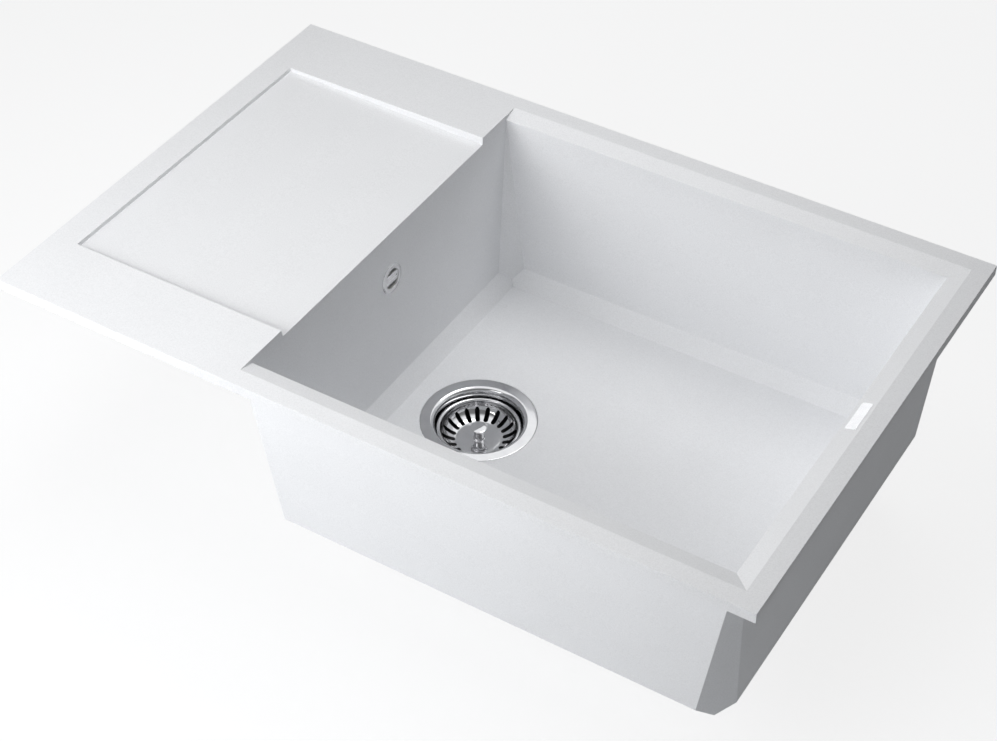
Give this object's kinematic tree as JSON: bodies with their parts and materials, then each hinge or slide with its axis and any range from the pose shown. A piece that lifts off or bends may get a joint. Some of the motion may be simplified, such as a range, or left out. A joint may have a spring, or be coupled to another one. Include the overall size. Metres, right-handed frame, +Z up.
{
  "type": "kitchen sink",
  "caption": "Inset composite kitchen sink with a recessed drainer on the left, one deep bowl, a lift-out basket strainer and an overflow.",
  "frame": {"origin": "centre of the rim's outline, on the worktop plane that the rim's underside rests on", "axes": "+X towards the bowl's end, +Y towards the wall behind the sink, +Z up"},
  "size_m": [0.78, 0.5, 0.286],
  "materials": {
    "composite": "fine matt white mineral composite",
    "steel": "polished stainless steel",
    "chrome": "polished plated ring",
    "brass": "plain turned",
    "seal_rubber": "matt",
    "stopper_rubber": "matt black",
    "clip_plastic": "moulded",
    "white_plastic": "moulded",
    "hose_plastic": "moulded, flexible"
  },
  "bodies": {
    "sink": {"basin": "composite", "strainer_flange": "steel", "flange_seal": "seal_rubber", "body_gasket": "seal_rubber", "waste_body": "white_plastic", "clamp_screw": "steel", "clamp_nut": "brass", "overflow_rosette": "chrome", "overflow_seal": "seal_rubber", "overflow_elbow": "white_plastic", "overflow_hose": "hose_plastic", "upper_hose_nut": "white_plastic", "upper_hose_seal": "seal_rubber", "lower_hose_nut": "white_plastic", "lower_hose_seal": "seal_rubber"},
    "clip": {"basket_clip": "clip_plastic"},
    "basket": {"basket_cup": "steel", "basket_knob": "steel", "basket_stem": "steel", "basket_stopper": "stopper_rubber", "stopper_retainer": "steel"}
  },
  "joints": [
    {"name": "basket_lift", "type": "slide", "parent": "sink", "child": "clip", "axis": [0, 0, 1], "range_m": [0, 0.26]},
    {"name": "basket_turn", "type": "hinge", "parent": "clip", "child": "basket", "pos_m": [-0.0234, 0, -0.189], "axis": [0, 0, 1], "continuous": true}
  ]
}
